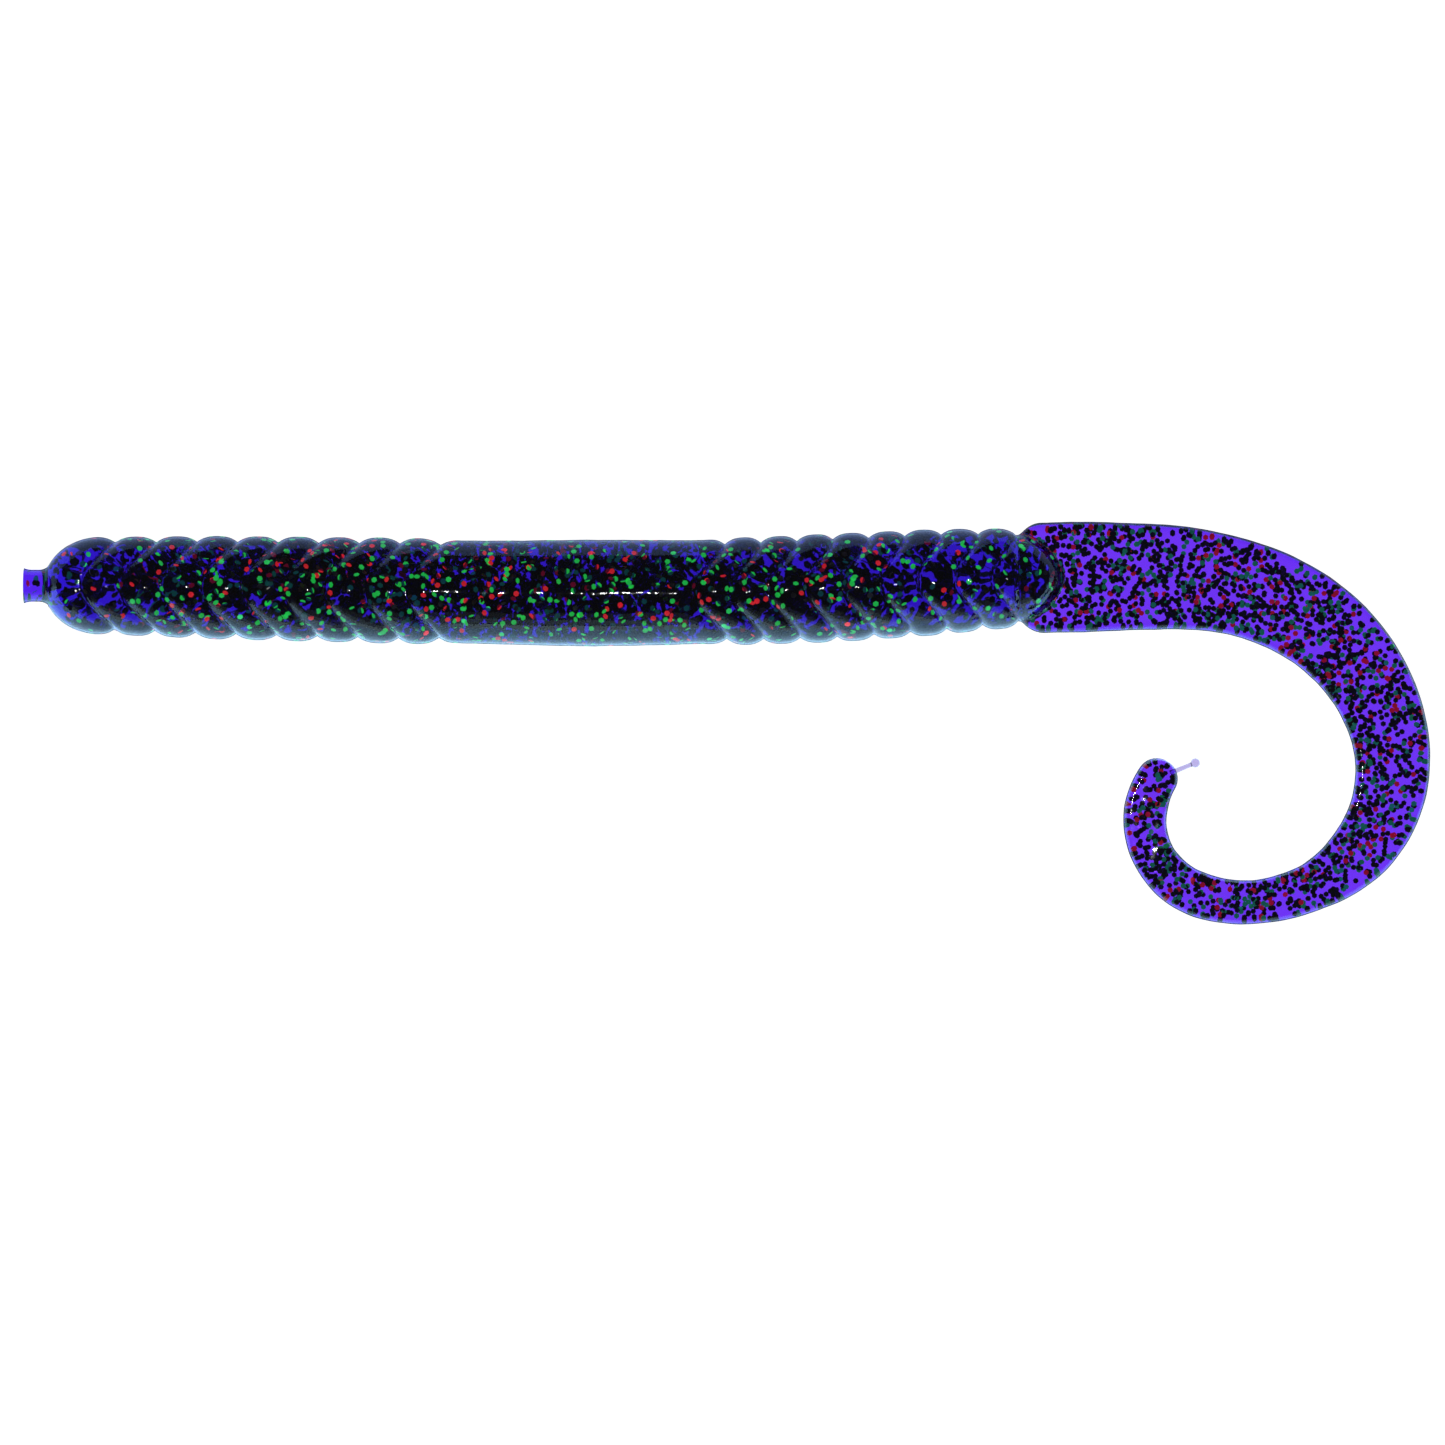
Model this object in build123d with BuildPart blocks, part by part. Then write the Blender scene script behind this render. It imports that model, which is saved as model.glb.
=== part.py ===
from build123d import *
import os
from math import cos, degrees, radians, sin, sqrt

# Ribbon tail worm, moulded in one shot of soft plastisol. Millimetres, +X from nose to tail, +Z up.
# The origin is on the support plane under the middle of the lying part. The moulding is divided at
# its own grooves, so that it can bend: every piece starts with a convex nose, which sits in the
# concave socket of the piece ahead of it, and both are round about the hinge between them.

# Driving sizes of the body.
BODY_DIAMETER = 14.1
AXIS_HEIGHT = 7.3
NOSE_X = -92.2
NOSE_Y = 18.9
HEAD_LENGTH = 9.1
HEAD_TIP_DIAMETER = 4.9
HEAD_CROWN = 0.35 * HEAD_LENGTH
HEAD_BULGE = (0.38, 0.75)
FRONT_RINGS = 8
FRONT_PITCH = 5.52
SADDLE_PIECES = 5
SADDLE_LENGTH = 38.9
REAR_RINGS = 8
REAR_PITCH = 4.95
FIRST_RING_DIAMETER = 13.0
WIDEST_RING_DIAMETER = 14.6
LAST_RING_DIAMETER = 13.4
DOME_LENGTH = 6.4

# The grooves are raked: at the crown they lie this far ahead of the sides.
FRONT_RAKE = 4.4
SADDLE_RAKE = 1.5
REAR_RAKE = 3.6
LOBE_RADIUS = 0.9
HEAD_RIM_RADIUS = 0.6
SADDLE_RADIUS = 0.15
GAP = 0.2
CROWN_FLARE = 0.45

# The body's gentle bow: heading of its axis in plan, in degrees.
FRONT_HEADING = -1.0
REAR_HEADING = 3.4
RISING_RINGS = 4
FALLING_RINGS = 3

# The gate remnant on the nose.
NUB_DIAMETER = 4.4
NUB_WAIST = 4.0
NUB_LENGTH = 3.3
WAIST_X = -2.0

# The ribbon: a plate with a round bead along each edge, curling to its right.
PLATE_THICKNESS = 2.0
ROOT_LENGTH = 9.4
ROOT_WIDTH = 14.8
ROOT_MOUTH = 10.6
SHOULDER = 3.56
SHOULDER_BULGE = (0.4, 0.94)
FIRST_SEGMENT = 10.6
SEGMENT_STEP = 0.295
SEGMENT_TURNS = (2, 13, 18, 21, 21, 27, 29, 25, 20, 25, 39, 41, 22)
TIP_LENGTH = 4.3
SEGMENT_WIDTHS = (14.8, 14.1, 13.0, 12.4, 11.5, 10.5, 9.7, 8.6, 6.4, 5.7, 6.0, 5.6, 5.7, 5.4)
THICK_BEAD = 2.7
THIN_BEAD = 2.1
RAMP_START = 0.5
RAMP_PITCH = 11.5
RAMP_SEGMENTS = 2
FLAP_RADIUS = 1.65
CURL_RAKE = 0.22
RIBBON_GAP = 0.15
CURL_FLARE = 0.05

# The vent pin on the tip.
PIN_DIAMETER = 0.7
PIN_LENGTH = 2.9
PIN_BALL = 1.3
PIN_ANGLE = -36.0

MARGIN = 1.0
UPRIGHT = Rot(0, 90, 0)

os.makedirs("parts", exist_ok=True)


def disc_radius(half_width, rake):
    """Radius of the arc through both sides whose crown lies rake ahead of them."""
    return (half_width**2 + rake**2) / (2 * rake)


def body_frames():
    """A frame at the headward end of every body piece, and one at the end of the last ring."""
    head = [HEAD_LENGTH]
    front = [FRONT_PITCH] * FRONT_RINGS
    saddle = [SADDLE_LENGTH / SADDLE_PIECES] * SADDLE_PIECES
    rear = [REAR_PITCH] * REAR_RINGS
    lengths = head + front + saddle + rear
    rising = SADDLE_PIECES + RISING_RINGS
    turns = [FRONT_HEADING] + [0] * FRONT_RINGS
    turns += [(REAR_HEADING - FRONT_HEADING) / rising] * rising
    turns += [0] * (REAR_RINGS - RISING_RINGS - FALLING_RINGS + 1)
    turns += [-REAR_HEADING / FALLING_RINGS] * (FALLING_RINGS - 1)
    frames = [Pos(NOSE_X, NOSE_Y, AXIS_HEIGHT)]
    for length, turn in zip(lengths, turns):
        frames.append(frames[-1] * Pos(length, 0, 0) * Rot(0, 0, turn))
    return frames, lengths


def disc_nose(frame, half_width, rake):
    """Cutter that leaves a piece a nose, convex about an upright axis."""
    radius = disc_radius(half_width, rake)
    depth = rake + MARGIN
    with BuildPart() as cutter:
        with BuildSketch(Plane(frame * Pos(0, 0, -BODY_DIAMETER))):
            with Locations((-depth / 2, 0)):
                Rectangle(depth, 4 * half_width)
            with Locations((radius - rake, 0)):
                Circle(radius, mode=Mode.SUBTRACT)
        extrude(amount=2 * BODY_DIAMETER)
    return cutter.part


def disc_socket(frame, half_width, rake, gap, flare):
    """Cutter for the socket around such a nose, flared towards the crown and the belly."""
    radius = disc_radius(half_width, rake) + gap
    height = half_width + MARGIN
    wide = radius + flare * (height / half_width) ** 2
    centre = frame * Pos(radius - gap - rake, 0, 0)
    with BuildPart() as cutter:
        with BuildSketch(Plane(centre * Rot(90, 0, 0))):
            with BuildLine():
                Polyline((-wide, height), (0, height), (0, -height), (-wide, -height))
                ThreePointArc((-wide, -height), (-radius, 0), (-wide, height))
            make_face()
        revolve(axis=Axis(centre.position, Plane(centre).z_dir))
    return cutter.part


def flap_nose(frame, half_width):
    """Cutter that leaves a ribbon segment a nose, convex about the line across the ribbon."""
    depth = FLAP_RADIUS + MARGIN
    with BuildPart() as cutter:
        with BuildSketch(Plane(frame * Pos(0, 2 * half_width, 0) * Rot(90, 0, 0))):
            with Locations((-depth / 2, 0)):
                Rectangle(depth, 4 * FLAP_RADIUS)
            Circle(FLAP_RADIUS, mode=Mode.SUBTRACT)
        extrude(amount=4 * half_width)
    return cutter.part


def flap_socket(frame, half_width):
    """Cutter for the socket around such a nose."""
    with BuildPart() as cutter:
        with BuildSketch(Plane(frame * Pos(0, 2 * half_width, 0) * Rot(90, 0, 0))):
            Circle(FLAP_RADIUS + RIBBON_GAP)
        extrude(amount=4 * half_width)
    return cutter.part


def export(piece, label):
    piece.label = label
    export_step(piece, f"parts/{label}.step")


def rims(piece):
    """The closed edges where a nose or a socket meets the round body."""
    return piece.edges().filter_by(GeomType.BSPLINE)


def make_nub(frame):
    """The gate remnant: waisted, with a flat cut end."""
    with BuildPart() as sprue_nub:
        with BuildSketch(Plane(frame * Rot(90, 0, 0))):
            with BuildLine():
                end = NUB_DIAMETER / 2
                Polyline((0, end), (0, 0), (-NUB_LENGTH, 0), (-NUB_LENGTH, end))
                ThreePointArc((-NUB_LENGTH, end), (WAIST_X, NUB_WAIST / 2), (0, end))
            make_face()
        revolve(axis=Axis(frame.position, Plane(frame).x_dir))
    sprue_nub.part.label = "sprue_nub"
    export_step(sprue_nub.part, "parts/sprue_nub.step")


def make_head(frame, socket):
    """The blunt head, round about the body's axis."""
    radius = FIRST_RING_DIAMETER / 2
    tip = HEAD_TIP_DIAMETER / 2
    with BuildPart() as head:
        with BuildSketch(Plane(frame)):
            with BuildLine():
                full = (HEAD_CROWN, radius)
                bulge = (HEAD_CROWN * HEAD_BULGE[0], radius * HEAD_BULGE[1])
                Polyline(full, (HEAD_LENGTH, radius), (HEAD_LENGTH, 0), (0, 0), (0, tip))
                ThreePointArc((0, tip), bulge, full)
            make_face()
        revolve(axis=Axis(frame.position, Plane(frame).x_dir))
        add(socket, mode=Mode.SUBTRACT)
        fillet(rims(head), HEAD_RIM_RADIUS)
    export(head.part, "head")


def make_body_piece(label, frame, length, diameter, rake, socket, rounding):
    """A ring or a stretch of the saddle: a round bar between a nose and a socket."""
    nose = disc_nose(frame, diameter / 2, rake)
    reach = rake + MARGIN / 2
    with BuildPart() as piece:
        with BuildSketch(Plane(frame * Pos(-reach, 0, 0) * UPRIGHT)):
            Circle(diameter / 2)
        extrude(amount=reach + length)
        add(nose, mode=Mode.SUBTRACT)
        add(socket, mode=Mode.SUBTRACT)
        fillet(rims(piece), rounding)
    export(piece.part, label)


def ramp_start(frame):
    """Where the ribbon leaves the dome, sloping down to the support plane."""
    return frame * Pos(RAMP_START, 0, 0) * Rot(0, RAMP_PITCH, 0)


def make_tail_root(frame, rake, socket):
    """The domed end of the body, with the start of the ribbon coming out of its middle."""
    radius = LAST_RING_DIAMETER / 2
    nose = disc_nose(frame, radius, rake)
    reach = rake + MARGIN / 2
    half_width = ROOT_WIDTH / 2
    mouth = ROOT_MOUTH / 2
    slope = ramp_start(frame)
    reach_out = ROOT_LENGTH - RAMP_START
    plate_rim = half_width - THIN_BEAD / 2
    dome_radius = (radius**2 + DOME_LENGTH**2) / (2 * DOME_LENGTH)
    diagonal = dome_radius * sqrt(0.5)
    half_way = (DOME_LENGTH - dome_radius + diagonal, diagonal)
    with BuildPart() as tail_root:
        with BuildSketch(Plane(slope * Pos(0, 0, -PLATE_THICKNESS / 2))):
            with BuildLine():
                for side in (1, -1):
                    rim = side * plate_rim
                    bulge = (SHOULDER * SHOULDER_BULGE[0], rim * SHOULDER_BULGE[1])
                    ThreePointArc((0, side * mouth), bulge, (SHOULDER, rim))
                    Line((SHOULDER, rim), (reach_out, rim))
                Line((0, mouth), (0, -mouth))
                Line((reach_out, plate_rim), (reach_out, -plate_rim))
            make_face()
        extrude(amount=PLATE_THICKNESS)
        for side, bead in ((1, THIN_BEAD), (-1, THICK_BEAD)):
            start = slope * Pos(SHOULDER, side * (half_width - bead / 2), 0)
            with BuildSketch(Plane(start * UPRIGHT)):
                Circle(bead / 2)
            extrude(amount=reach_out - SHOULDER)
            with Locations(start):
                Sphere(bead / 2)
        add(socket, mode=Mode.SUBTRACT)
        with BuildSketch(Plane(frame * Rot(90, 0, 0))):
            with BuildLine():
                Polyline((0, radius), (-reach, radius), (-reach, 0), (DOME_LENGTH, 0))
                ThreePointArc((0, radius), half_way, (DOME_LENGTH, 0))
            make_face()
        revolve(axis=Axis(frame.position, Plane(frame).x_dir))
        add(nose, mode=Mode.SUBTRACT)
    export(tail_root.part, "tail_root")


def along_arc(length, turn, distance):
    """Place at a distance along a segment's centreline, which turns evenly to the right."""
    if distance <= 0:
        return Pos(distance, 0, 0)
    angle = radians(turn) * distance / length
    radius = length / radians(turn)
    return Pos(radius * sin(angle), -radius * (1 - cos(angle)), 0) * Rot(0, 0, -degrees(angle))


def make_ribbon(label, frame, length, turn, widths, beads, nose, socket, reach):
    """A segment of the ribbon: a thin plate, with a bead along its outer and inner edge."""
    places = [(-reach, widths[0]), (0, widths[0])]
    places += [(length / 2, sum(widths) / 2), (length, widths[1])]
    with BuildPart() as piece:
        for distance, width in places:
            station = frame * along_arc(length, turn, distance) * UPRIGHT
            with BuildSketch(Plane(station)):
                Rectangle(PLATE_THICKNESS, width - THIN_BEAD)
        loft()
        for side, bead in ((1, beads[0]), (-1, beads[1])):
            for distance, width in places:
                place = along_arc(length, turn, distance) * Pos(0, side * (width - bead) / 2, 0)
                with BuildSketch(Plane(frame * place * UPRIGHT)):
                    Circle(bead / 2)
            loft()
        add(nose, mode=Mode.SUBTRACT)
        if socket is not None:
            add(socket, mode=Mode.SUBTRACT)
        else:
            end = frame * along_arc(length, turn, length)
            with BuildSketch(Plane(end * Pos(0, 0, -PLATE_THICKNESS / 2))):
                Circle(widths[1] / 2)
            extrude(amount=PLATE_THICKNESS)
    export(piece.part, label)


def make_pin(frame):
    """The vent pin: a thin stem with a ball at its end."""
    start = frame * Rot(0, 0, PIN_ANGLE) * Pos(SEGMENT_WIDTHS[-1] / 2, 0, 0)
    with BuildPart() as vent_pin:
        with BuildSketch(Plane(start * UPRIGHT)):
            Circle(PIN_DIAMETER / 2)
        extrude(amount=PIN_LENGTH)
        with BuildSketch(Plane(start * Pos(PIN_LENGTH, 0, 0) * Rot(90, 0, 0))):
            with BuildLine():
                Line((-PIN_BALL / 2, 0), (PIN_BALL / 2, 0))
                CenterArc((0, 0), PIN_BALL / 2, 0, 180)
            make_face()
        revolve(axis=Axis((start * Pos(PIN_LENGTH, 0, 0)).position, Plane(start).x_dir))
    vent_pin.part.label = "vent_pin"
    export_step(vent_pin.part, "parts/vent_pin.step")


def ring_diameters(count, first, last):
    """Diameters of a row of rings, changing evenly from the first to the last."""
    return [first + (last - first) * i / (count - 1) for i in range(count)]


frames, lengths = body_frames()
labels = ["head"]
labels += [f"front_ring_{i + 1}" for i in range(FRONT_RINGS)]
labels += [f"saddle_{i + 1}" for i in range(SADDLE_PIECES)]
labels += [f"rear_ring_{i + 1}" for i in range(REAR_RINGS)]
diameters = [FIRST_RING_DIAMETER]
diameters += ring_diameters(FRONT_RINGS, FIRST_RING_DIAMETER, BODY_DIAMETER)
diameters += [BODY_DIAMETER] * SADDLE_PIECES
diameters += ring_diameters(REAR_RINGS, WIDEST_RING_DIAMETER, LAST_RING_DIAMETER)
diameters += [LAST_RING_DIAMETER]
rakes = [0] + [FRONT_RAKE] * (FRONT_RINGS + 1)
rakes += [SADDLE_RAKE] * (SADDLE_PIECES - 1)
rakes += [REAR_RAKE] * (REAR_RINGS + 1)
roundings = [LOBE_RADIUS] * (FRONT_RINGS + 1)
roundings += [SADDLE_RADIUS] * SADDLE_PIECES
roundings += [LOBE_RADIUS] * REAR_RINGS

sockets = []
for k in range(1, len(frames)):
    sockets.append(disc_socket(frames[k], diameters[k] / 2, rakes[k], GAP, CROWN_FLARE))

make_nub(frames[0])
make_head(frames[0], sockets[0])
for k in range(1, len(labels)):
    shape = (lengths[k], diameters[k], rakes[k])
    make_body_piece(labels[k], frames[k], *shape, sockets[k], roundings[k])

# The ribbon's frames: it turns in plan, and levels out at the end of the ramp.
count = len(SEGMENT_TURNS)
segment_lengths = [FIRST_SEGMENT - SEGMENT_STEP * i for i in range(count - 1)] + [TIP_LENGTH]
ramp_turn = sum(SEGMENT_TURNS[:RAMP_SEGMENTS])
level_out = Rot(0, 0, ramp_turn) * Rot(0, -RAMP_PITCH, 0) * Rot(0, 0, -ramp_turn)
tail_frames = [ramp_start(frames[-1]) * Pos(ROOT_LENGTH - RAMP_START, 0, 0)]
for i in range(count):
    following = tail_frames[-1] * along_arc(segment_lengths[i], SEGMENT_TURNS[i], segment_lengths[i])
    tail_frames.append(following * level_out if i == RAMP_SEGMENTS - 1 else following)

tail_noses = []
tail_sockets = []
reaches = []
for i in range(count):
    half_width = SEGMENT_WIDTHS[i] / 2
    if i % 2 == 0:
        tail_noses.append(flap_nose(tail_frames[i], half_width))
        tail_sockets.append(flap_socket(tail_frames[i], half_width))
        reaches.append(FLAP_RADIUS + MARGIN / 2)
    else:
        rake = SEGMENT_WIDTHS[i] * CURL_RAKE
        tail_noses.append(disc_nose(tail_frames[i], half_width, rake))
        tail_sockets.append(disc_socket(tail_frames[i], half_width, rake, RIBBON_GAP, CURL_FLARE))
        reaches.append(rake + MARGIN / 2)
tail_sockets.append(None)

make_tail_root(frames[-1], rakes[-1], tail_sockets[0])
for i in range(count):
    label = "tail_tip" if i == count - 1 else f"tail_ribbon_{i + 1}"
    widths = SEGMENT_WIDTHS[i : i + 2]
    share = i / (count - 1)
    growth = (THICK_BEAD - THIN_BEAD) * share
    beads = (THIN_BEAD + growth, THICK_BEAD - growth)
    course = (tail_frames[i], segment_lengths[i], SEGMENT_TURNS[i])
    ends = (tail_noses[i], tail_sockets[i + 1], reaches[i])
    make_ribbon(label, *course, widths, beads, *ends)
make_pin(tail_frames[-1])
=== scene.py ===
import bpy
import math
import numpy as np
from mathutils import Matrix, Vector


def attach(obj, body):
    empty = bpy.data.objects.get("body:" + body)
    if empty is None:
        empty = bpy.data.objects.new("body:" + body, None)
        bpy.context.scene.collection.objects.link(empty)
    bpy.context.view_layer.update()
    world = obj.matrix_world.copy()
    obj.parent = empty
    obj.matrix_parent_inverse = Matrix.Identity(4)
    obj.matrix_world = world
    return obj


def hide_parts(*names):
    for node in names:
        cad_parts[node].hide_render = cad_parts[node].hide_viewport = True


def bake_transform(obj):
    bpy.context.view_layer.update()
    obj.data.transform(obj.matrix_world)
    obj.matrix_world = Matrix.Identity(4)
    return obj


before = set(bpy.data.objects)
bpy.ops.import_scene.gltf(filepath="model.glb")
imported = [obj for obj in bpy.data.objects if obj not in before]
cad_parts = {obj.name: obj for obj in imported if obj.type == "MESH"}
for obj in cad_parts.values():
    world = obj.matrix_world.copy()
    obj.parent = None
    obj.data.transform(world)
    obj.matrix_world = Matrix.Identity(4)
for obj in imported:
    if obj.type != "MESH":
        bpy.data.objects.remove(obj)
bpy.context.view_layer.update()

# Lengths are in millimetres until a mesh is made. The worm is described along its centreline: s runs from
# the nose (0) to the tip, and a section at s is spanned by the level direction across and by +Z.
MM = 0.001
TINY = 1e-3
LEAST_NORMAL = 1e-9

# The body, as in the CAD model.
NOSE = (-92.2, 18.9)
AXIS_HEIGHT = 7.3
BODY_RADIUS = 7.3
NUB_LENGTH = 3.3
HEAD_LENGTH = 9.1
FRONT_PITCH = 5.52
SADDLE_LENGTH = 38.9
SADDLE_PIECES = 5
SADDLE_MIDDLE = 72.0
REAR_PITCH = 4.95
RINGS = 8
FRONT_HEADING = -1.0
REAR_HEADING = 3.4
RISING_RINGS = 4
FALLING_RINGS = 3

# The ribbon, as in the CAD model.
ROOT_LENGTH = 9.4
ROOT_LEAD = 1.0
SEGMENT_TURNS = (2, 13, 18, 21, 21, 27, 29, 25, 20, 25, 39, 41, 22)
TIP_LENGTH = 4.3
SEGMENT_WIDTHS = (14.8, 14.1, 13.0, 12.4, 11.5, 10.5, 9.7, 8.6, 6.4, 5.7, 6.0, 5.6, 5.7, 5.4)
FIRST_SEGMENT = 10.6
SEGMENT_STEP = 0.295
PLATE_HALF = 1.0
THICK_BEAD = 1.35
THIN_BEAD = 1.05

rng = np.random.default_rng(11)

# Where the pieces of the CAD model begin and end along the centreline, and their bodies in order.
body_lengths = [HEAD_LENGTH] + [FRONT_PITCH] * RINGS
body_lengths += [SADDLE_LENGTH / SADDLE_PIECES] * SADDLE_PIECES + [REAR_PITCH] * RINGS
segment_lengths = [FIRST_SEGMENT - SEGMENT_STEP * i for i in range(len(SEGMENT_TURNS) - 1)] + [TIP_LENGTH]
marks = np.concatenate([[0.0], np.cumsum(body_lengths + [ROOT_LENGTH] + segment_lengths)])
segment_marks = marks[-len(SEGMENT_TURNS) - 1 :]
BODY_END = marks[len(body_lengths)]
PATH_END = marks[-1]
TIP_RADIUS = SEGMENT_WIDTHS[-1] / 2
bodies = ["head"] + [f"front_ring_{i + 1}" for i in range(RINGS)]
bodies += [f"saddle_{i + 1}" for i in range(SADDLE_PIECES)]
bodies += [f"rear_ring_{i + 1}" for i in range(RINGS)]
bodies += ["tail_root"] + [f"tail_ribbon_{i + 1}" for i in range(len(SEGMENT_TURNS) - 1)] + ["tail_tip"]
middles = (marks[:-1] + marks[1:]) / 2
joint_count = len(bodies) - 1

# Heading of the centreline in plan: steady along each body piece, turning evenly along each ribbon segment.
rising = SADDLE_PIECES + RISING_RINGS
turns = [0.0, FRONT_HEADING] + [0.0] * RINGS + [(REAR_HEADING - FRONT_HEADING) / rising] * rising
turns += [0.0] * (RINGS - RISING_RINGS - FALLING_RINGS + 1)
turns += [-REAR_HEADING / FALLING_RINGS] * (FALLING_RINGS - 1)
headings = np.cumsum(turns)
body_headings, tail_heading = headings[:-1], headings[-1]
heading_s = np.concatenate([middles[: len(body_lengths)], [BODY_END + ROOT_LEAD], segment_marks])
tail_headings = tail_heading - np.cumsum([0.0, 0.0] + list(SEGMENT_TURNS))
heading_v = np.concatenate([body_headings, tail_headings])

# The centreline in plan, in short steps, a little past both ends.
LINE_POINTS = 6000
LINE_MARGIN = 1.0
fine_s = np.linspace(-NUB_LENGTH - LINE_MARGIN, PATH_END + TIP_RADIUS + LINE_MARGIN, LINE_POINTS)
fine_h = np.radians(np.interp(fine_s, heading_s, heading_v))
step = fine_s[1] - fine_s[0]
fine_x = np.cumsum(np.cos(fine_h)) * step
fine_y = np.cumsum(np.sin(fine_h)) * step
fine_x += NOSE[0] - np.interp(0.0, fine_s, fine_x)
fine_y += NOSE[1] - np.interp(0.0, fine_s, fine_y)


def smooth(t):
    t = np.clip(t, 0.0, 1.0)
    return t * t * (3 - 2 * t)


RAMP_LENGTH = 34.0
RAMP_LEAD = 0.5
TABLE_GAP = 0.05


def ribbon_height(s):
    """Height of the ribbon's middle: it leaves the dome at the axis and comes down to the plane."""
    drop = AXIS_HEIGHT - THICK_BEAD - TABLE_GAP
    return AXIS_HEIGHT - drop * smooth((s - BODY_END + RAMP_LEAD) / RAMP_LENGTH)


def place(s, across, up):
    """Points in the row frame for sections at s, offsets to the left and heights above the plane."""
    x = np.interp(s, fine_s, fine_x)
    y = np.interp(s, fine_s, fine_y)
    h = np.interp(s, fine_s, fine_h)
    return np.stack([x - across * np.sin(h), y + across * np.cos(h), up + 0 * x], axis=-1)


def ribbon_point(s):
    """The middle of the ribbon at one station."""
    return place(np.array([s]), np.zeros(1), np.array([float(ribbon_height(np.array(s)))]))[0]


# The grooves between the lobes, and how far each is raked towards the head at the crown.
front_grooves = HEAD_LENGTH + FRONT_PITCH * np.arange(RINGS + 1)
rear_grooves = BODY_END - REAR_PITCH * np.arange(RINGS, -1, -1)
grooves = np.concatenate([front_grooves, rear_grooves])
GROOVE_DEPTH = 0.76
LAST_GROOVE_SHARE = 0.35
LOBE_POWER = 2.7
RAKE_S = (0.0, 10.0, 90.0, BODY_END)
RAKES = (4.3, 4.6, 4.5, 3.3)
# How flat the grooves start at the sides: higher towards the tail.
RAKE_POWER_S = (40.0, 100.0)
RAKE_POWERS = (1.35, 1.9)
# There are no grooves where the body's radius is under FADE_FROM, and full ones where it is FADE_OVER more.
FADE_FROM = 1.5
FADE_OVER = 3.0

# The round body without its grooves: the blunt head up to HEAD_ROUND, the envelope, and the closing dome.
HEAD_ROUND = 7.0
HEAD_REACH = 7.6
DOME_LENGTH = 6.4
DOME_RADIUS = 6.0
DOME_FALL = 1.6
DOME_POWER = 0.6
ENVELOPE_S = (HEAD_ROUND, 23.0, 50.0, 56.0, 74.0, 89.0, 95.0, 108.0, 121.0, 131.8)
ENVELOPE_R = (6.5, 6.9, 7.1, 6.85, 7.14, 6.95, 7.2, 7.27, 7.1, 6.6)

# The gate's remnant: a waist, a slightly wider cut end and a foot that widens into the nose.
NUB_RADIUS = 2.05
NUB_FLARE = 0.22
NUB_FLARE_FROM = 2.2
NUB_FOOT = 0.45
NUB_FOOT_LENGTH = 1.2


def nub_radius(s):
    flare = np.clip((-s - NUB_FLARE_FROM) / (NUB_LENGTH - NUB_FLARE_FROM), 0, 1) ** 2
    foot = np.clip(1 + s / NUB_FOOT_LENGTH, 0, 1) ** 2
    return NUB_RADIUS + NUB_FLARE * flare + NUB_FOOT * foot


def body_radius(s, lift):
    """Radius of the round body at s, in the direction whose sine above the parting plane is lift."""
    head = ENVELOPE_R[0] * np.sqrt(np.clip(1 - ((HEAD_ROUND - s) / HEAD_REACH) ** 2, 0, 1))
    t = np.clip((s - BODY_END) / DOME_LENGTH, 0, 1)
    dome = DOME_RADIUS * np.power(np.clip(1 - t**DOME_FALL, 0, 1), DOME_POWER)
    radius = np.where(s < HEAD_ROUND, head, np.interp(s, ENVELOPE_S, ENVELOPE_R))
    radius = np.where(s > BODY_END, dome, radius)
    rake = np.interp(s, RAKE_S, RAKES)
    raked = s + rake * np.power(lift * lift, np.interp(s, RAKE_POWER_S, RAKE_POWERS))
    gap = np.min(np.abs(raked[..., None] - grooves), axis=-1)
    half_pitch = np.where(s < SADDLE_MIDDLE, FRONT_PITCH / 2, REAR_PITCH / 2)
    notch = np.power(np.clip(1 - gap / half_pitch, 0, 1), LOBE_POWER)
    fade = np.clip((radius - FADE_FROM) / FADE_OVER, 0, 1) * np.where(s > BODY_END, LAST_GROOVE_SHARE, 1.0)
    radius = radius - GROOVE_DEPTH * notch * fade
    return np.where(s < 0, nub_radius(s), np.maximum(radius, 0.0))


# The ribbon starts inside the body, and its shoulders stand out of the dome's sides.
ROOT_INSIDE = 1.1
ROOT_BLEND = 0.6
SHOULDER = 3.6
SHOULDER_INSIDE = 1.3


def ribbon_half_width(s):
    width = np.interp(s, segment_marks, SEGMENT_WIDTHS) / 2
    before = (BODY_END + SHOULDER - s) / (SHOULDER + SHOULDER_INSIDE)
    shoulder = np.sqrt(np.clip(1 - before**2, 0, 1))
    width = np.where(s < BODY_END + SHOULDER, width * shoulder, width)
    end = np.sqrt(np.clip(1 - ((s - PATH_END) / TIP_RADIUS) ** 2, 0, 1))
    width = np.where(s > PATH_END, width * end, width)
    return np.where(s < BODY_END - ROOT_INSIDE, 0.0, width)


# The beads along the edges: the inner one is thicker at the root, and over a stretch in the curl the outer
# one takes over.
RIM_REACH = 1.3
BEAD_FALL = 0.8
SWAP_START = marks[-9]
SWAP_LENGTH = 25.0
INNER_SWAP = 0.7


def edge_profile(reach, bead):
    """Half thickness at a distance from the ribbon's edge: a round bead that runs out into the plate."""
    rim = bead * np.sqrt(np.clip(1 - (1 - np.clip(reach / (RIM_REACH * bead), 0, 1)) ** 2, 0, 1))
    beyond = PLATE_HALF + (bead - PLATE_HALF) * (1 - smooth((reach - RIM_REACH * bead) / BEAD_FALL))
    return np.where(reach < RIM_REACH * bead, rim, beyond)


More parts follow.
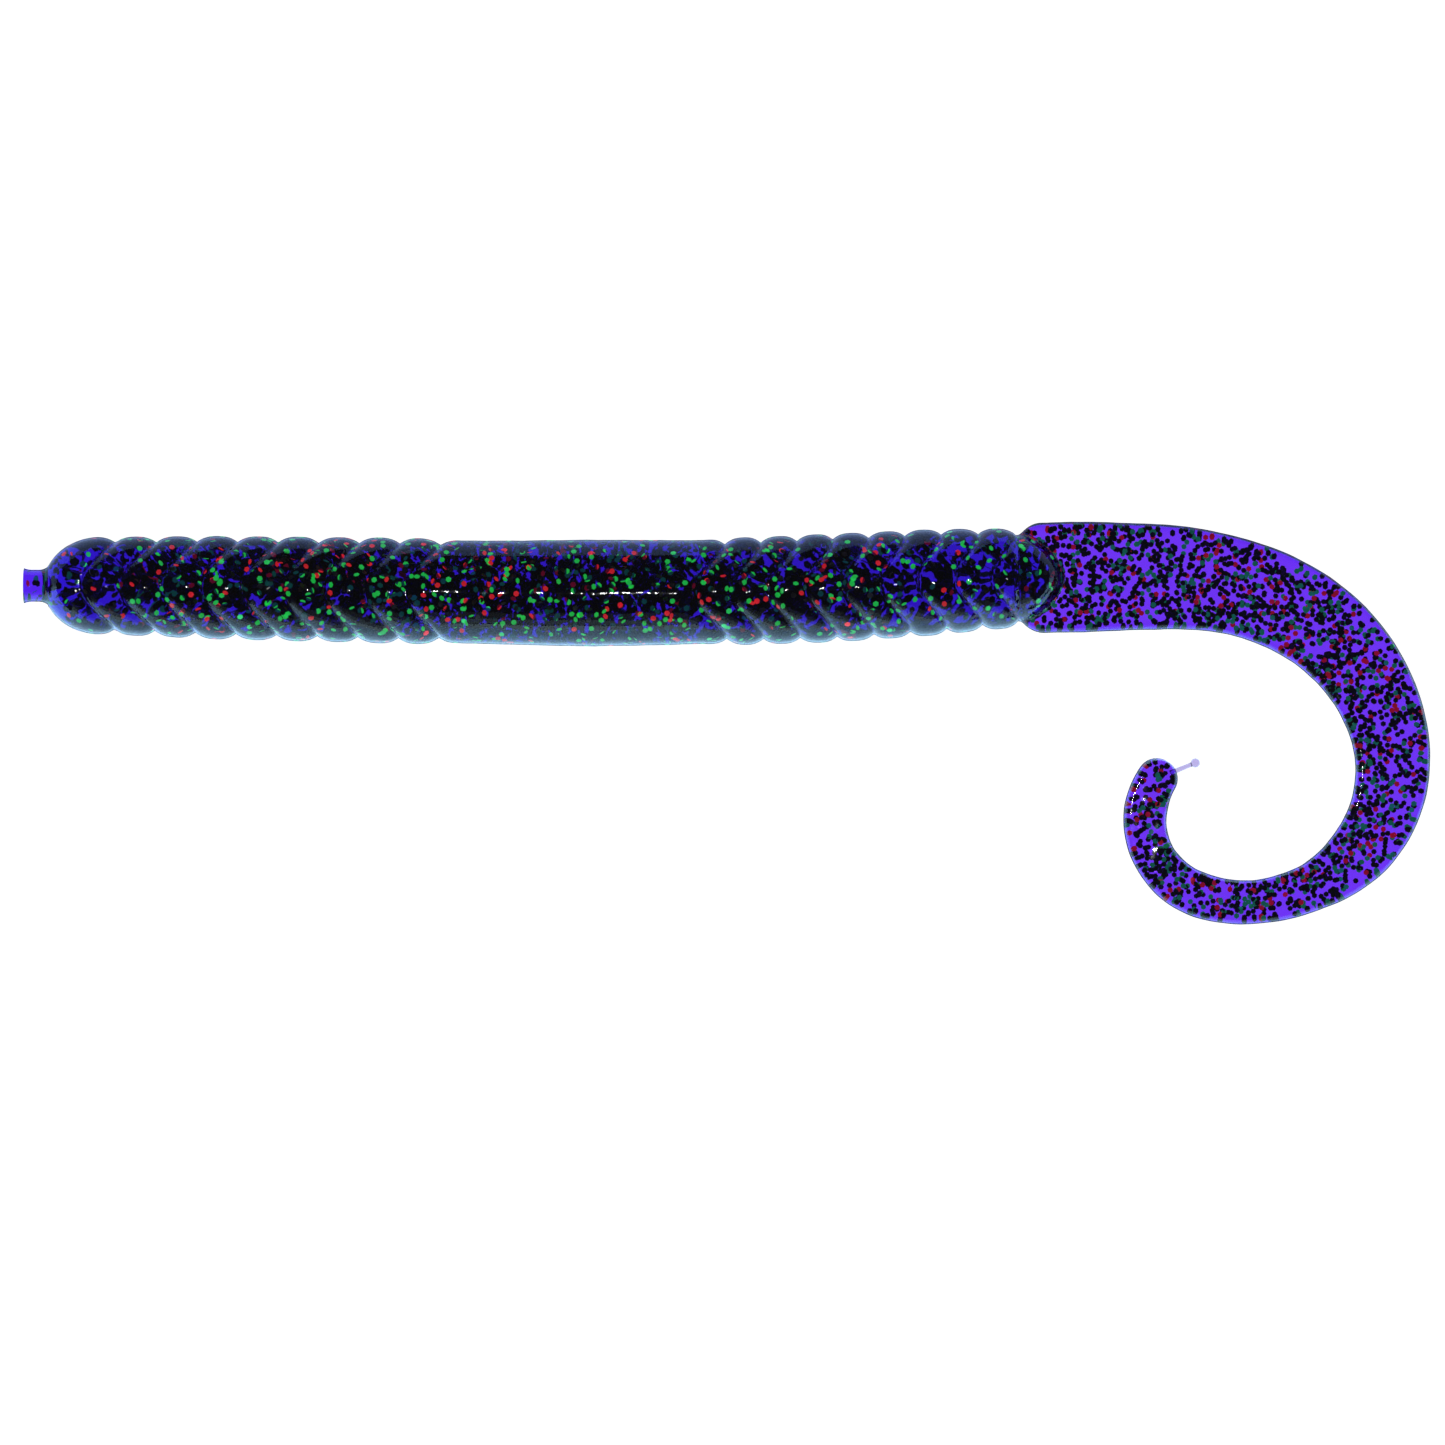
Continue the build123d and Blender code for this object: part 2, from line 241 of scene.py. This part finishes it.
def ribbon_half_height(s, y, width):
    share = smooth((s - SWAP_START) / SWAP_LENGTH)
    outer = THIN_BEAD + (THICK_BEAD - THIN_BEAD) * share
    inner = THICK_BEAD + (THIN_BEAD - THICK_BEAD) * INNER_SWAP * share
    left = edge_profile(width - y, np.minimum(outer, np.maximum(width, TINY)))
    right = edge_profile(width + y, np.minimum(inner, np.maximum(width, TINY)))
    return np.where(np.abs(y) < width, np.minimum(left, right), 0.0)


def section(s, angle):
    """Offset to the left and height of the skin at s, all round."""
    lift = np.sin(angle)
    radius = body_radius(s, lift)
    y_body = radius * np.cos(angle)
    z_body = AXIS_HEIGHT + radius * lift
    width = ribbon_half_width(s)
    side_round = np.maximum(body_radius(s, 0 * lift), TINY)
    side = np.maximum(side_round, width)
    y = side * np.cos(angle)
    lean = np.sqrt(np.clip(1 - (y / side_round) ** 2, 0, 1))
    round_half = np.sqrt(np.clip(body_radius(s, lean) ** 2 - y * y, 0, None))
    in_round = (np.abs(y) < side_round) & (s < BODY_END + DOME_LENGTH)
    flat_half = ribbon_half_height(s, y, width)
    sign = np.where(lift >= 0, 1.0, -1.0)
    level = np.where(np.abs(y) <= width, ribbon_height(s), AXIS_HEIGHT)
    up_flat = level + sign * flat_half
    up_round = AXIS_HEIGHT + sign * round_half
    merged = np.where(sign > 0, np.maximum(up_round, up_flat), np.minimum(up_round, up_flat))
    merged = np.where(in_round, merged, up_flat)
    blend = smooth((s - BODY_END + ROOT_INSIDE) / ROOT_BLEND)
    return y_body + (y - y_body) * blend, z_body + (merged - z_body) * blend


# Angles round a section: even, with a few close together at both edges for the parting line's thin flash.
FLASH = 0.12
FLASH_FOOT = 0.45
FLASH_ANGLES = np.radians([1.1, 2.6])
EVEN_FROM = 6
EVEN_COUNT = 30
even_angles = np.linspace(math.radians(EVEN_FROM), math.radians(180 - EVEN_FROM), EVEN_COUNT)
half_turn = np.concatenate([[0.0], FLASH_ANGLES, even_angles, math.pi - FLASH_ANGLES[::-1]])
ANGLES = np.concatenate([half_turn, half_turn + math.pi])
columns = len(ANGLES)
flash = np.zeros(columns)
flash[[0, len(half_turn)]] = FLASH
flash[[1, -1, len(half_turn) - 1, len(half_turn) + 1]] = FLASH * FLASH_FOOT

# The slight unevenness of a soft casting, as waves: share, waves along and their phase, how far they lean
# from side to side, waves round and their twist.
RIPPLE = 0.022
RIPPLE_WAVES = ((1.0, 0.83, 0.0, 2.0, 3, 0.31), (0.6, 1.9, 1.3, 0.0, 5, -0.57))
RIPPLE_FROM = 1.0
RIPPLE_RISE = 4.0
RIPPLE_END = 3.0


def ripple(s, angle):
    wave = 0.0
    for share, along, phase, lean, lobes, twist in RIPPLE_WAVES:
        length_wave = np.sin(s * along + phase + lean * np.cos(angle))
        wave = wave + share * length_wave * np.sin(angle * lobes + s * twist)
    return RIPPLE * wave * smooth((s - RIPPLE_FROM) / RIPPLE_RISE) * smooth((PATH_END - s) / RIPPLE_END)


def grid(stations):
    s, angle = np.meshgrid(stations, ANGLES, indexing="ij")
    y, z = section(s, angle)
    uneven = ripple(s, angle)
    y = y + (flash + uneven) * np.cos(angle)
    z = z + uneven * np.sin(angle)
    return place(s, y, z)


def grid_normals(points):
    along = np.gradient(points, axis=0)
    around = np.roll(points, -1, axis=1) - np.roll(points, 1, axis=1)
    n = np.cross(around, along)
    return n / np.maximum(np.linalg.norm(n, axis=-1, keepdims=True), LEAST_NORMAL)


# Materials.
PLASTISOL_IOR = 1.45
FLAKE_ROUGHNESS = 0.35
FLAKE_METALLIC = 0.7
# The coloured flakes glow a little: painted light, though they are no lamp.
FLAKE_PAINTED_GLOW = 0.75


def plain(name, color, roughness, metallic=0.0, transmission=0.0, ior=PLASTISOL_IOR):
    material = bpy.data.materials.new(name)
    material.use_nodes = True
    shader = material.node_tree.nodes["Principled BSDF"]
    shader.inputs["Base Color"].default_value = (*color, 1.0)
    shader.inputs["Roughness"].default_value = roughness
    shader.inputs["Metallic"].default_value = metallic
    shader.inputs["Transmission Weight"].default_value = transmission
    shader.inputs["IOR"].default_value = ior
    return material


def dyed_material(name, roughness, ior):
    """Clear material tinted by the mesh's dye attribute, which on the ribbon's skin also holds painted
    shade along its edges.
    """
    material = plain(name, (1.0, 1.0, 1.0), roughness, transmission=1.0, ior=ior)
    nodes, links = material.node_tree.nodes, material.node_tree.links
    tint = nodes.new("ShaderNodeAttribute")
    tint.attribute_name = "dye"
    links.new(tint.outputs["Color"], nodes["Principled BSDF"].inputs["Base Color"])
    return material


def add_painted_glow(material, color):
    """Adds a little emission: painted light on the flakes, which the lamps hardly reach through the
    refracting skin.
    """
    shader = material.node_tree.nodes["Principled BSDF"]
    shader.inputs["Emission Color"].default_value = (*color, 1.0)
    shader.inputs["Emission Strength"].default_value = FLAKE_PAINTED_GLOW
    return material


skin_material = dyed_material("plastisol_skin", 0.04, PLASTISOL_IOR)
core_material = dyed_material("plastisol_core", 0.0, 1.0)
pin_material = plain("clear_plastisol", (0.50, 0.45, 0.80), 0.08, transmission=1.0)
flake_black = plain("flake_black", (0.010, 0.009, 0.016), FLAKE_ROUGHNESS)
flake_green = plain("flake_green", (0.05, 0.80, 0.22), FLAKE_ROUGHNESS, FLAKE_METALLIC)
flake_red = plain("flake_red", (0.90, 0.05, 0.05), FLAKE_ROUGHNESS, FLAKE_METALLIC)
# The green and red flakes get a painted glow.
flake_materials = [
    flake_black,
    add_painted_glow(flake_green, (0.01, 0.50, 0.05)),
    add_painted_glow(flake_red, (0.60, 0.01, 0.02)),
]

# What the dye lets through, by millimetres of material.
DYE_FLOOR = np.array([0.030, 0.008, 0.0])
DYE_DENSITY = np.array([1.03, 1.86, 0.065])


def dyed(thickness):
    through = np.exp(-DYE_DENSITY * np.asarray(thickness)[..., None])
    return DYE_FLOOR + (1 - DYE_FLOOR) * through


def make_object(name, vertices, faces, materials, normals=None, face_materials=None, dye=None):
    mesh = bpy.data.meshes.new(name)
    mesh.from_pydata((vertices * MM).tolist(), [], faces)
    for material in materials:
        mesh.materials.append(material)
    if face_materials is not None:
        mesh.polygons.foreach_set("material_index", face_materials)
    mesh.update()
    if dye is not None:
        layer = mesh.attributes.new("dye", "FLOAT_COLOR", "POINT")
        layer.data.foreach_set("color", np.concatenate([dye, np.ones((len(dye), 1))], axis=1).ravel())
    if normals is not None:
        mesh.shade_smooth()
        mesh.normals_split_custom_set_from_vertices(normals.tolist())
    made = bpy.data.objects.new(name, mesh)
    bpy.context.scene.collection.objects.link(made)
    return made


def strip_faces(rows, around):
    """Faces between rows of points, each row a closed ring."""
    faces = []
    for i in range(rows - 1):
        for j in range(around):
            k = (j + 1) % around
            faces.append((i * around + j, i * around + k, (i + 1) * around + k, (i + 1) * around + j))
    return faces


# One piece of skin for each joint, from the middle of one body to the middle of the next. The last one
# closes on the round end, with stations that crowd towards it.
SPACING = 0.36
END_SHARE = 0.998
END_STATIONS = 10
cuts = [-NUB_LENGTH] + list(middles[1:-1]) + [PATH_END + TIP_RADIUS * END_SHARE]
round_end = PATH_END + TIP_RADIUS * END_SHARE * np.sin(np.linspace(0, math.pi / 2, END_STATIONS))
stations = []
starts = []
for first_cut, next_cut in zip(cuts[:-1], cuts[1:]):
    starts.append(len(stations))
    part = np.linspace(first_cut, next_cut, int(math.ceil((next_cut - first_cut) / SPACING)) + 1)
    if next_cut > PATH_END:
        stations.extend(np.concatenate([part[part < PATH_END], round_end]))
    else:
        stations.extend(part[:-1])
starts.append(len(stations) - 1)
stations = np.array(stations)


def nodes_of(index):
    """CAD nodes that the skin across a joint stands for: its forward body, and at the end both."""
    found = [bodies[index]]
    if index == 0:
        found.append("sprue_nub")
    if index == joint_count - 1:
        found.append(bodies[index + 1])
    return found


# The tint of the skin: the full depth of the dye where it is thin, and almost none round the thick body.
# Along the ribbon's edges extra dye is added as painted shade for the dark refracting rims.
SKIN_DEPTH = 0.1
# Extra dye depth at the ribbon's edges: painted shade.
RIM_SHADE_PATH = 1.5
RIM_POWER = 24
PLATE_LIMIT = 3.0
NUB_PATH = 2.6
NUB_TINT_END = 1.0
NUB_TINT_FALL = 1.6


def skin_tint_and_rim_shade():
    s, angle = np.meshgrid(stations, ANGLES, indexing="ij")
    folded = np.arcsin(np.abs(np.sin(angle)))
    thickness = np.clip(section(s, folded)[1] - section(s, -folded)[1], 2 * PLATE_HALF, None)
    in_plate = (thickness < PLATE_LIMIT) & (s > BODY_END)
    # Painted shade: darker along the ribbon's edges, where refraction makes the real rim look dark.
    painted_rim_shade = np.abs(np.cos(angle)) ** RIM_POWER
    elsewhere = 2 * SKIN_DEPTH + NUB_PATH * smooth((NUB_TINT_END - s) / NUB_TINT_FALL)
    return dyed(np.where(in_plate, thickness + RIM_SHADE_PATH * painted_rim_shade, elsewhere))


skin = grid(stations)
skin_normals = grid_normals(skin)
skin_dye_and_rim_shade = skin_tint_and_rim_shade()

# The core: the dye's depth inside the thick body, a surface that only tints.
CORE_DEPTH = 0.85
CORE_PATH = 1.8
CORE_COLUMNS = 24
CORE_START = 0.6
CORE_ROUND = 2.5
core_angles = np.arange(CORE_COLUMNS) * 2 * math.pi / CORE_COLUMNS


def core_grid(stations):
    s, angle = np.meshgrid(stations, core_angles, indexing="ij")
    radius = np.maximum(body_radius(s, np.sin(angle)) - CORE_DEPTH, 0.0)
    radius = radius * np.sqrt(np.clip((s - CORE_START) / CORE_ROUND, 0, 1))
    across = np.broadcast_to(radius.mean(axis=1, keepdims=True), radius.shape)
    return place(s, radius * np.cos(angle), AXIS_HEIGHT + radius * np.sin(angle)), dyed(CORE_PATH * across)


def make_skin(i):
    rows = slice(starts[i], starts[i + 1] + 1)
    count = starts[i + 1] + 1 - starts[i]
    faces = strip_faces(count, columns)
    points, normals, dye = (v[rows].reshape(-1, 3) for v in (skin, skin_normals, skin_dye_and_rim_shade))
    if i == 0:
        faces.append(tuple(range(count * columns, count * columns + columns))[::-1])
        points = np.concatenate([points, points[:columns]])
        normals = np.concatenate([normals, np.tile([-1.0, 0.0, 0.0], (columns, 1))])
        dye = np.concatenate([dye, dye[:columns]])
    if i == joint_count - 1:
        faces.append(tuple(range((count - 1) * columns, count * columns)))
    piece = make_object(f"skin_{i + 1}", points, faces, [skin_material], normals, dye=dye)
    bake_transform(piece)
    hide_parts(*nodes_of(i))


def make_core(i):
    inside = stations[starts[i] : starts[i + 1] + 1]
    inside = inside[(inside >= CORE_START) & (inside <= BODY_END + DOME_LENGTH)]
    if len(inside) < 2:
        return
    core, core_dye = core_grid(inside)
    points, normals, dye = (v.reshape(-1, 3) for v in (core, grid_normals(core), core_dye))
    faces = strip_faces(len(inside), CORE_COLUMNS)
    inner = make_object(f"core_{i + 1}", points, faces, [core_material], normals, dye=dye)
    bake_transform(inner)


for i in range(joint_count):
    make_skin(i)
    make_core(i)

# Glitter: small six-sided flakes, black, green and red. The shares are those of the black ones, and of the
# black and green ones together.
FLAKE_WIDTH = 0.80
FLAKE_THICKNESS = 0.05
BODY_SHARES = (0.42, 0.84)
BODY_TILT = 1.0
BODY_DENSITY = 0.88
TAIL_SHARES = (0.72, 0.92)
TAIL_TILT = 0.45
TAIL_DENSITY = 1.2
# Coloured flakes deeper than this are made black: painted shade.
COLOUR_DEPTH = 1.5
SKIN_CLEARANCE = 0.30
PLATE_CLEARANCE = 0.45
NUB_CLEARANCE = 0.4
DOME_CLEARANCE = 1.0
ROOT_CLEARANCE = 1.5
TIP_CLEARANCE = 0.5
LEAST_SPREAD = 0.02
# How much of the full density there is along the body.
SPARSE_S = (-4.0, 12.0, 30.0, 60.0, 100.0, 118.0, 140.0)
SPARSE_SHARE = (0.45, 0.55, 1.0, 0.9, 0.8, 0.5, 0.5)
hexagon_angles = np.arange(6) * math.pi / 3
hexagon = np.stack([np.cos(hexagon_angles), np.sin(hexagon_angles), 0 * hexagon_angles], axis=-1)
hexagon = hexagon * FLAKE_WIDTH / 2
flake_shape = np.concatenate([hexagon + [0, 0, FLAKE_THICKNESS / 2], hexagon - [0, 0, FLAKE_THICKNESS / 2]])
flake_faces = [(0, 1, 2, 3, 4, 5), (11, 10, 9, 8, 7, 6)]
flake_faces += [(j, j + 6, (j + 1) % 6 + 6, (j + 1) % 6) for j in range(6)]


def random_turns(count, tilt_limit):
    """Rotation matrices: each leaning from level by up to the limit, in any direction."""
    spin, direction = rng.uniform(0, 2 * math.pi, (2, count))
    tilt = tilt_limit * np.sqrt(rng.uniform(size=count))
    zero, one = np.zeros(count), np.ones(count)
    c, s = np.cos(tilt), np.sin(tilt)
    ax, ay = np.cos(direction), np.sin(direction)
    lean = np.array(
        [
            [c + (1 - c) * ax * ax, (1 - c) * ax * ay, s * ay],
            [(1 - c) * ax * ay, c + (1 - c) * ay * ay, -s * ax],
            [-s * ay, s * ax, c],
        ]
    )
    across, ahead = np.cos(spin), np.sin(spin)
    turn = np.array([[across, -ahead, zero], [ahead, across, zero], [zero, zero, one]])
    return np.einsum("ijn,jkn->nik", lean, turn)


def body_flakes():
    """Stations, offsets, heights, outward angles and depths of flakes spread evenly through the body."""
    length = BODY_END + DOME_LENGTH - DOME_CLEARANCE
    count = int(BODY_DENSITY * math.pi * BODY_RADIUS**2 * length)
    s = rng.uniform(-NUB_LENGTH + NUB_CLEARANCE, length, count)
    r = BODY_RADIUS * np.sqrt(rng.uniform(size=count))
    angle = rng.uniform(0, 2 * math.pi, count)
    depth = body_radius(s, np.sin(angle)) - r
    packed = rng.uniform(size=count) < np.interp(s, SPARSE_S, SPARSE_SHARE)
    fits = (depth > SKIN_CLEARANCE) & packed
    s, r, angle = s[fits], r[fits], angle[fits]
    return s, r * np.cos(angle), AXIS_HEIGHT + r * np.sin(angle), angle, depth[fits]


def tail_flakes():
    """The same for the ribbon, facing up."""
    length = PATH_END + TIP_RADIUS - BODY_END
    count = int(TAIL_DENSITY * length * SEGMENT_WIDTHS[0] * PLATE_HALF * 2)
    s = rng.uniform(BODY_END + ROOT_CLEARANCE, PATH_END + TIP_RADIUS - TIP_CLEARANCE, count)
    y = rng.uniform(-0.5, 0.5, count) * SEGMENT_WIDTHS[0]
    width = ribbon_half_width(s)
    fits = np.abs(y) < width - PLATE_CLEARANCE
    s, y, width = s[fits], y[fits], width[fits]
    half = np.maximum(ribbon_half_height(s, y, width) - SKIN_CLEARANCE, LEAST_SPREAD)
    z = ribbon_height(s) + rng.uniform(-1, 1, len(s)) * half
    return s, y, z, np.full(len(s), math.pi / 2), np.zeros(len(s))


def turned_flakes(spread, tilt, shares):
    """Corners, pieces and colours of flakes in one spread."""
    s, y, z, angle, depth = spread
    h = np.interp(s, fine_s, fine_h)
    ahead = np.stack([np.cos(h), np.sin(h), 0 * h], axis=-1)
    left = np.stack([-np.sin(h), np.cos(h), 0 * h], axis=-1)
    out = left * np.cos(angle)[:, None] + np.array([0, 0, 1.0]) * np.sin(angle)[:, None]
    axes = np.stack([ahead, np.cross(out, ahead), out], axis=-1)
    turned = np.einsum("nij,njk,mk->nmi", axes, random_turns(len(s), tilt), flake_shape)
    # Coloured flakes deep in the dye are made black: painted shade, since the dye keeps the light from
    # them.
    colours = np.searchsorted(shares, rng.uniform(size=len(s)))
    colours = np.where(depth > COLOUR_DEPTH, 0, colours)
    return turned + place(s, y, z)[:, None], np.searchsorted(np.array(cuts[1:-1]), s), colours


spreads = ((body_flakes(), BODY_TILT, BODY_SHARES), (tail_flakes(), TAIL_TILT, TAIL_SHARES))
flakes = [turned_flakes(*spread) for spread in spreads]
flake_points, flake_pieces, flake_colours = (np.concatenate(v) for v in zip(*flakes))


def make_glitter(i):
    chosen = flake_pieces == i
    points = flake_points[chosen]
    corners = flake_shape.shape[0]
    faces = [tuple(corners * n + k for k in f) for n in range(len(points)) for f in flake_faces]
    colours = np.repeat(flake_colours[chosen], len(flake_faces)).astype(np.int32)
    points = points.reshape(-1, 3)
    glitter = make_object(f"glitter_{i + 1}", points, faces, flake_materials, face_materials=colours)
    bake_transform(glitter)


for i in range(joint_count):
    make_glitter(i)

# The vent pin at the tip: a thin stem and a small ball, turned about its own axis.
PIN_STEM = 0.32
PIN_NECK = PIN_STEM * 0.95
PIN_BALL = 0.62
PIN_LENGTH = 2.9
PIN_ANGLE = -36.0
PIN_SIDES = 20
BALL_STEPS = 12
BALL_END = 0.02
STEM_PROFILE = ((-0.8, 1.2), (0.0, 1.05), (0.7, 1.0), (2.0, 0.9))


def pin_profile():
    """Distances along the pin and radii: the stem, its neck, and the ball, almost closed at its end."""
    neck = PIN_LENGTH - math.sqrt(PIN_BALL**2 - PIN_NECK**2)
    profile = [(distance, PIN_STEM * share) for distance, share in STEM_PROFILE] + [(neck, PIN_NECK)]
    neck_angle = math.acos((PIN_LENGTH - neck) / PIN_BALL)
    for a in np.linspace(neck_angle, math.pi - BALL_END, BALL_STEPS)[1:]:
        profile.append((PIN_LENGTH - PIN_BALL * math.cos(a), PIN_BALL * math.sin(a)))
    return profile


def make_pin():
    heading = math.radians(heading_v[-1] + PIN_ANGLE)
    origin = ribbon_point(PATH_END)
    ahead = np.array([math.cos(heading), math.sin(heading), 0.0])
    left = np.array([-math.sin(heading), math.cos(heading), 0.0])
    up = np.array([0.0, 0.0, 1.0])
    profile = pin_profile()
    points = []
    for distance, radius in profile:
        for j in range(PIN_SIDES):
            a = 2 * math.pi * j / PIN_SIDES
            round_axis = radius * (left * math.cos(a) + up * math.sin(a))
            points.append(origin + ahead * (TIP_RADIUS + distance) + round_axis)
    faces = strip_faces(len(profile), PIN_SIDES)
    faces.append(tuple(range(PIN_SIDES))[::-1])
    faces.append(tuple(range((len(profile) - 1) * PIN_SIDES, len(profile) * PIN_SIDES)))
    pin = make_object("vent_pin_skin", np.array(points), faces, [pin_material])
    pin.data.shade_smooth()
    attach(pin, "tail_tip")
    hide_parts("vent_pin")


make_pin()

# Stage: a pale lit table, as under a sorting table's diffuser. The panel is evenly lit where the camera
# looks at it. In reflected rays only, its glow is swapped for a bluish colour that is dim on the far side
# and bright on the near side: a painted reflection, the sheen along the worm's near side.
TABLE_SIZE = 1.6
TABLE_DROP = 0.0002
PANEL_STRENGTH = 1.03
FAR_SIDE = 0.026
NEAR_SIDE = 0.008
# The table's glow as reflected rays see it: painted reflection, dim on the far side and bright on the near
# side.
FAR_PAINTED_REFLECTION = (0.28, 0.42, 0.80, 1.0)
NEAR_PAINTED_REFLECTION = (0.85, 1.5, 2.1, 1.0)
WHITE = (1.0, 1.0, 1.0, 1.0)


def table_material():
    material = bpy.data.materials.new("table")
    material.use_nodes = True
    nodes, links = material.node_tree.nodes, material.node_tree.links
    shader = nodes["Principled BSDF"]
    shader.inputs["Base Color"].default_value = (0.3, 0.3, 0.3, 1.0)
    shader.inputs["Roughness"].default_value = 0.9
    shader.inputs["Emission Strength"].default_value = PANEL_STRENGTH
    position = nodes.new("ShaderNodeTexCoord")
    split = nodes.new("ShaderNodeSeparateXYZ")
    across = nodes.new("ShaderNodeMapRange")
    across.interpolation_type = "SMOOTHSTEP"
    across.inputs["From Min"].default_value = FAR_SIDE
    across.inputs["From Max"].default_value = NEAR_SIDE
    # Painted reflection: the colour that reflected rays see, chosen by the side of the table.
    painted_reflection = nodes.new("ShaderNodeMix")
    painted_reflection.data_type = "RGBA"
    painted_reflection.inputs["A"].default_value = FAR_PAINTED_REFLECTION
    painted_reflection.inputs["B"].default_value = NEAR_PAINTED_REFLECTION
    path = nodes.new("ShaderNodeLightPath")
    seen = nodes.new("ShaderNodeMix")
    seen.data_type = "RGBA"
    seen.inputs["A"].default_value = WHITE
    links.new(position.outputs["Object"], split.inputs["Vector"])
    links.new(split.outputs["Y"], across.inputs["Value"])
    links.new(across.outputs["Result"], painted_reflection.inputs["Factor"])
    # Only reflected rays see the painted reflection; all other rays see the white panel.
    links.new(path.outputs["Is Reflection Ray"], seen.inputs["Factor"])
    links.new(painted_reflection.outputs["Result"], seen.inputs["B"])
    links.new(seen.outputs["Result"], shader.inputs["Emission Color"])
    return material


def make_table():
    half = TABLE_SIZE / 2
    mesh = bpy.data.meshes.new("table")
    corners = [(-half, -half, 0), (half, -half, 0), (half, half, 0), (-half, half, 0)]
    mesh.from_pydata(corners, [], [(0, 1, 2, 3)])
    mesh.materials.append(table_material())
    table = bpy.data.objects.new("table", mesh)
    table.location.z = -TABLE_DROP
    bpy.context.scene.collection.objects.link(table)


make_table()

world = bpy.data.worlds.new("studio")
bpy.context.scene.world = world
world.use_nodes = True
world.node_tree.nodes["Background"].inputs["Color"].default_value = (0.93, 0.95, 1.0, 1.0)
world.node_tree.nodes["Background"].inputs["Strength"].default_value = 0.08

# Windows low on the near side, one above the other, and two small spots overhead, all unseen by the camera.
# Each window: name, place, width and height, radiance and colour.
WINDOW_BLUE = (0.6, 0.88, 1.0)
WINDOWS = (
    ("window_low", (0.0, -0.50, 0.06), (1.1, 0.12), 1.7, WINDOW_BLUE),
    ("window_middle", (0.0, -0.48, 0.19), (1.1, 0.13), 0.7, WINDOW_BLUE),
    ("window_high", (0.0, -0.42, 0.32), (1.1, 0.14), 0.2, (0.7, 0.88, 1.0)),
)
WINDOW_TARGET = (0.0, 0.0, 0.005)
SPOT_PLACES = (("spot_left", (-0.03, 0.0, 0.75)), ("spot_right", (0.03, 0.0, 0.75)))
SPOT_SIZE = (0.02, 0.02)
SPOT_RADIANCE = 160.0


def lamp(name, location, target, size, radiance, color):
    data = bpy.data.lights.new(name, "AREA")
    data.shape = "RECTANGLE"
    data.size, data.size_y = size
    data.energy = radiance * math.pi * size[0] * size[1]
    data.color = color
    light = bpy.data.objects.new(name, data)
    light.location = location
    direction = np.array(target) - np.array(location)
    light.rotation_euler = Vector(direction).to_track_quat("-Z", "Y").to_euler()
    light.visible_camera = False
    bpy.context.scene.collection.objects.link(light)


for name, location, size, radiance, color in WINDOWS:
    lamp(name, location, WINDOW_TARGET, size, radiance, color)
for name, location in SPOT_PLACES:
    lamp(name, location, (0.0, 0.0, 0.0), SPOT_SIZE, SPOT_RADIANCE, WHITE[:3])

# Camera: straight above, with the nose at the left.
CAMERA_HEIGHT = 1.6
VIEW_WIDTH = 0.1965
CENTRE = (-0.0005, 0.0003)
SENSOR_WIDTH = 36.0
camera_data = bpy.data.cameras.new("camera")
camera_data.sensor_width = SENSOR_WIDTH
camera_data.lens = SENSOR_WIDTH * (CAMERA_HEIGHT - AXIS_HEIGHT * MM) / VIEW_WIDTH
camera_data.clip_start = 0.01
camera = bpy.data.objects.new("camera", camera_data)
camera.location = (*CENTRE, CAMERA_HEIGHT)
bpy.context.scene.collection.objects.link(camera)
bpy.context.scene.camera = camera
bpy.context.scene.view_settings.view_transform = "Standard"
